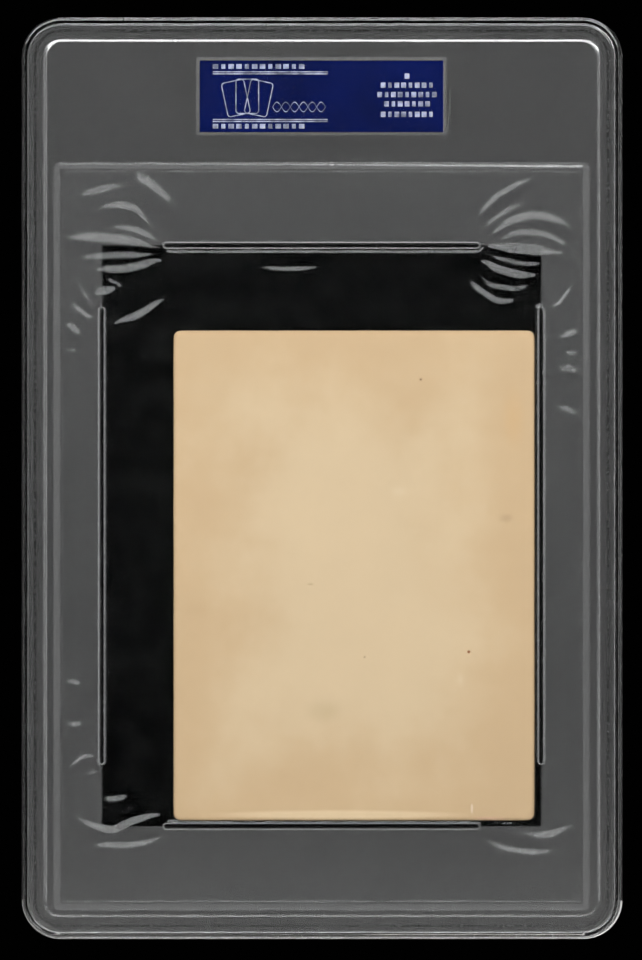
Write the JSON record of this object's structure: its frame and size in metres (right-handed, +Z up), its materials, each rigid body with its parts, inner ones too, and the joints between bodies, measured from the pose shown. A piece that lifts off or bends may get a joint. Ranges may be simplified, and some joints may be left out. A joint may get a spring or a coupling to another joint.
{
  "type": "graded card slab",
  "caption": "Flat clear welded display case with frosted margins round a polished window, holding a loose paperboard card in a film sleeve under a foil label.",
  "frame": {"origin": "middle of the bottom edge, where a stand holds the upright case", "axes": "+Z up towards the label, +X to the right seen from the card's reverse side, +Y from the reverse side to the picture side"},
  "size_m": [0.136, 0.0064, 0.208],
  "materials": {
    "clear_shell": "injection-moulded clear polystyrene, fine matte texture with polished window, label pad and outer flange",
    "weld": "melted clear polystyrene",
    "sleeve_film": "thin clear polyester film",
    "card_board": "aged uncoated cream paperboard",
    "label_paper": "smooth white label paper",
    "label_blue_foil": "deep blue metallised foil",
    "label_silver": "hot-stamped silver foil"
  },
  "bodies": {
    "case": {"front_shell": "clear_shell", "back_shell": "clear_shell", "weld_bead": "weld", "sleeve_front_film": "sleeve_film", "sleeve_back_film": "sleeve_film", "label_card": "label_paper", "label_foil": "label_blue_foil", "label_stamping": "label_silver"},
    "loose_card": {"card": "card_board"}
  },
  "joints": [
    {"name": "card_slide", "type": "slide", "parent": "case", "child": "loose_card", "axis": [0, 0, 1], "range_m": [0, 0.0175]}
  ]
}
